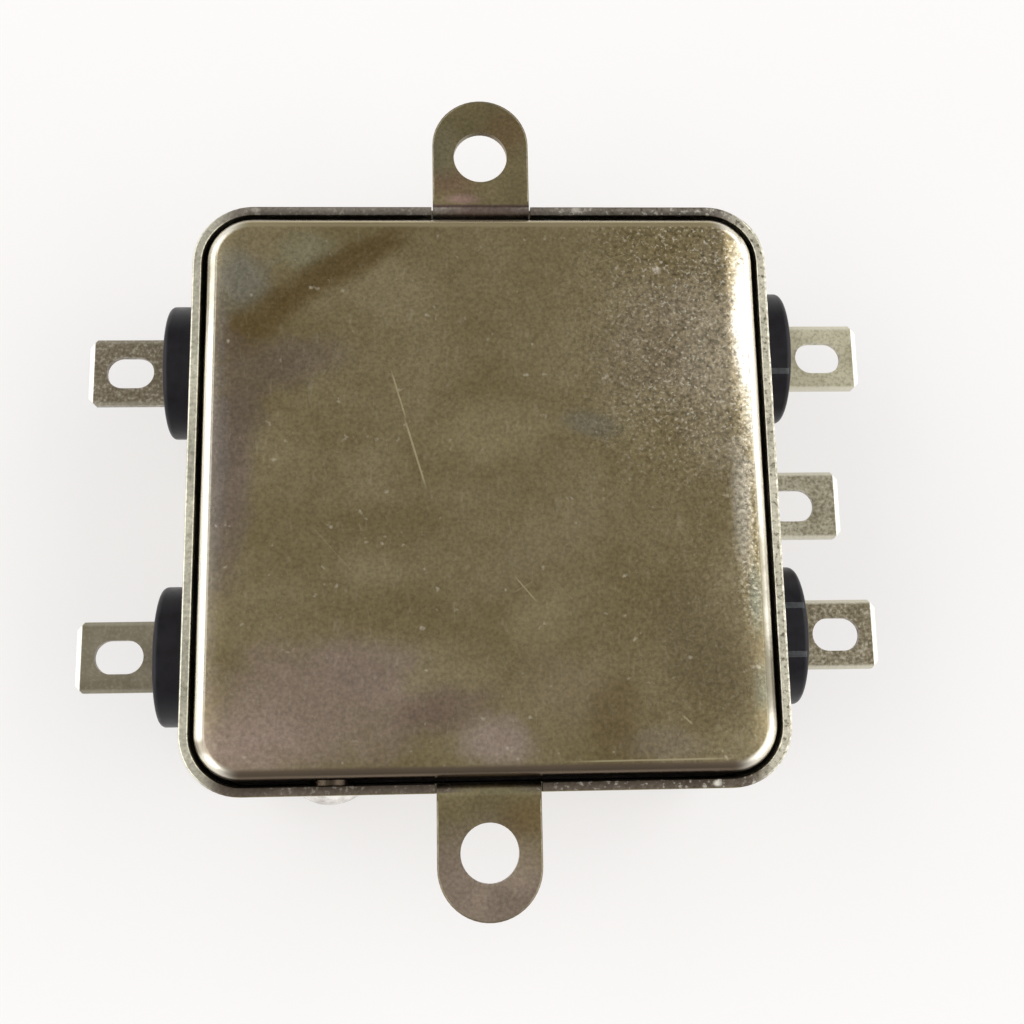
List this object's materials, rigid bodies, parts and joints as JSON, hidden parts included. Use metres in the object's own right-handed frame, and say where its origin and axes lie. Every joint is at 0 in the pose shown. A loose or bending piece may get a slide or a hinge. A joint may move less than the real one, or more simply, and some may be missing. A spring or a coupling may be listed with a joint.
{
  "type": "emi line filter",
  "caption": "Square drawn-steel power-line filter with a nested pan cover, two bent mounting ears, insulated slotted tabs on both sides and an earth tab on the can.",
  "frame": {"origin": "middle of the can's closed face, which is the face it lies on in the picture", "axes": "+Z from the closed face to the cover and the ears; +Y along the line of the two ears; +X from the side with two tabs to the side that also has the earth tab"},
  "size_m": [0.073, 0.071, 0.0248],
  "materials": {
    "can_steel": "bright plated, drawn",
    "cover_steel": "bright plated, drawn",
    "tab_metal": "tin plated, stamped",
    "rivet_steel": "plated",
    "lug_brass": "tin plated",
    "bushing_plastic": "moulded, semi-gloss",
    "washer_fibre": "matte",
    "pad_fibre": "matte",
    "tray_plastic": "moulded, matte",
    "core_ferrite": "pressed, matte",
    "winding_copper": "enamelled copper",
    "x_capacitor_case": "moulded",
    "y_capacitor_coating": "dipped",
    "resistor_ceramic": "lacquered",
    "tinned_wire": "tinned copper",
    "solder": "solder, bright"
  },
  "bodies": {
    "root": {"can": "can_steel", "cover": "cover_steel", "earth_tab": "tab_metal", "earth_rivet": "rivet_steel", "earth_lug": "lug_brass", "tray": "tray_plastic", "choke_pad": "pad_fibre", "choke_core": "core_ferrite", "core_divider": "washer_fibre", "winding_upper": "winding_copper", "winding_lower": "winding_copper", "bleed_resistor": "resistor_ceramic", "resistor_leads": "tinned_wire", "solder_lug": "solder", "x_capacitor_left": "x_capacitor_case", "x_capacitor_leads_left": "tinned_wire", "y_capacitor_left": "y_capacitor_coating", "y_capacitor_leads_left": "tinned_wire", "x_capacitor_right": "x_capacitor_case", "x_capacitor_leads_right": "tinned_wire", "y_capacitor_right": "y_capacitor_coating", "y_capacitor_leads_right": "tinned_wire", "bushing_left_upper": "bushing_plastic", "washer_left_upper": "washer_fibre", "tab_left_upper": "tab_metal", "solder_left_upper": "solder", "bushing_left_lower": "bushing_plastic", "washer_left_lower": "washer_fibre", "tab_left_lower": "tab_metal", "solder_left_lower": "solder", "bushing_right_upper": "bushing_plastic", "washer_right_upper": "washer_fibre", "tab_right_upper": "tab_metal", "solder_right_upper": "solder", "bushing_right_lower": "bushing_plastic", "washer_right_lower": "washer_fibre", "tab_right_lower": "tab_metal", "solder_right_lower": "solder"}
  },
  "joints": []
}
